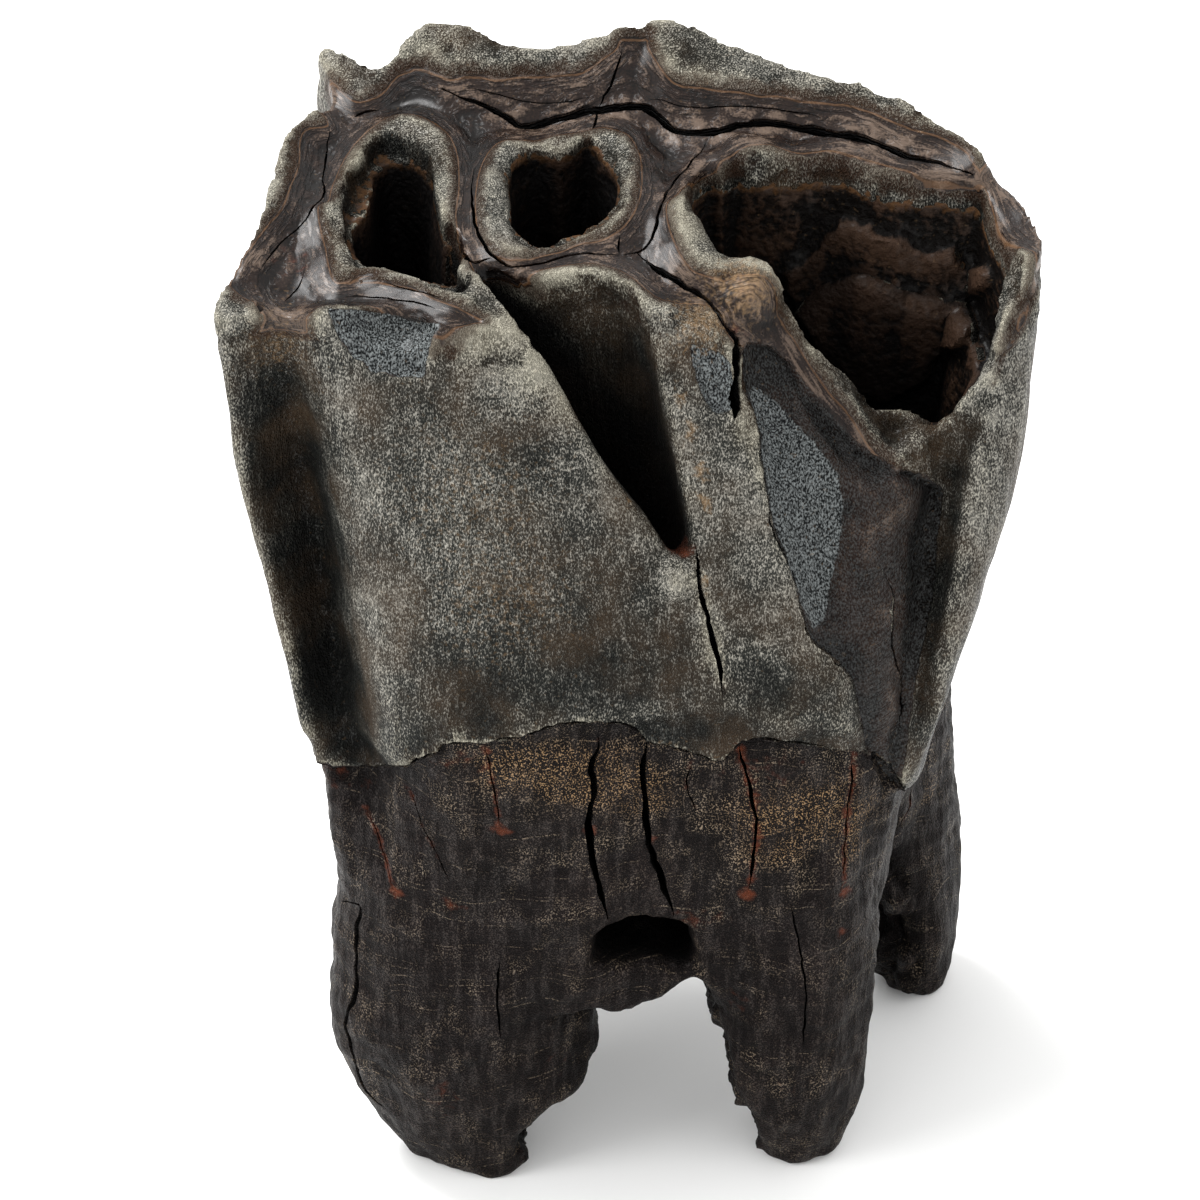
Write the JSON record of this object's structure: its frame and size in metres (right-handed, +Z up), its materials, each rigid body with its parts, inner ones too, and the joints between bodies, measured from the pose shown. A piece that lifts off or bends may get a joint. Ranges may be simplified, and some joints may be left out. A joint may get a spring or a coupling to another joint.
{
  "type": "fossil woolly rhinoceros molar",
  "caption": "Fossil upper molar of a woolly rhinoceros, with a worn chewing surface, deep pits and broken roots, standing on its roots as a display specimen.",
  "frame": {"origin": "middle of the tooth's outline, on the surface that it stands on", "axes": "+X towards the rear of the tooth, -Y the tongue side that faces the viewer, +Z up from the root tips to the chewing surface"},
  "size_m": [0.0556, 0.0411, 0.0798],
  "materials": {
    "fossil_tooth": "mineralised tooth: grey enamel with a fine grain, satin brown dentine and near-black roots"
  },
  "bodies": {
    "root": {"tooth": "fossil_tooth"}
  },
  "joints": []
}
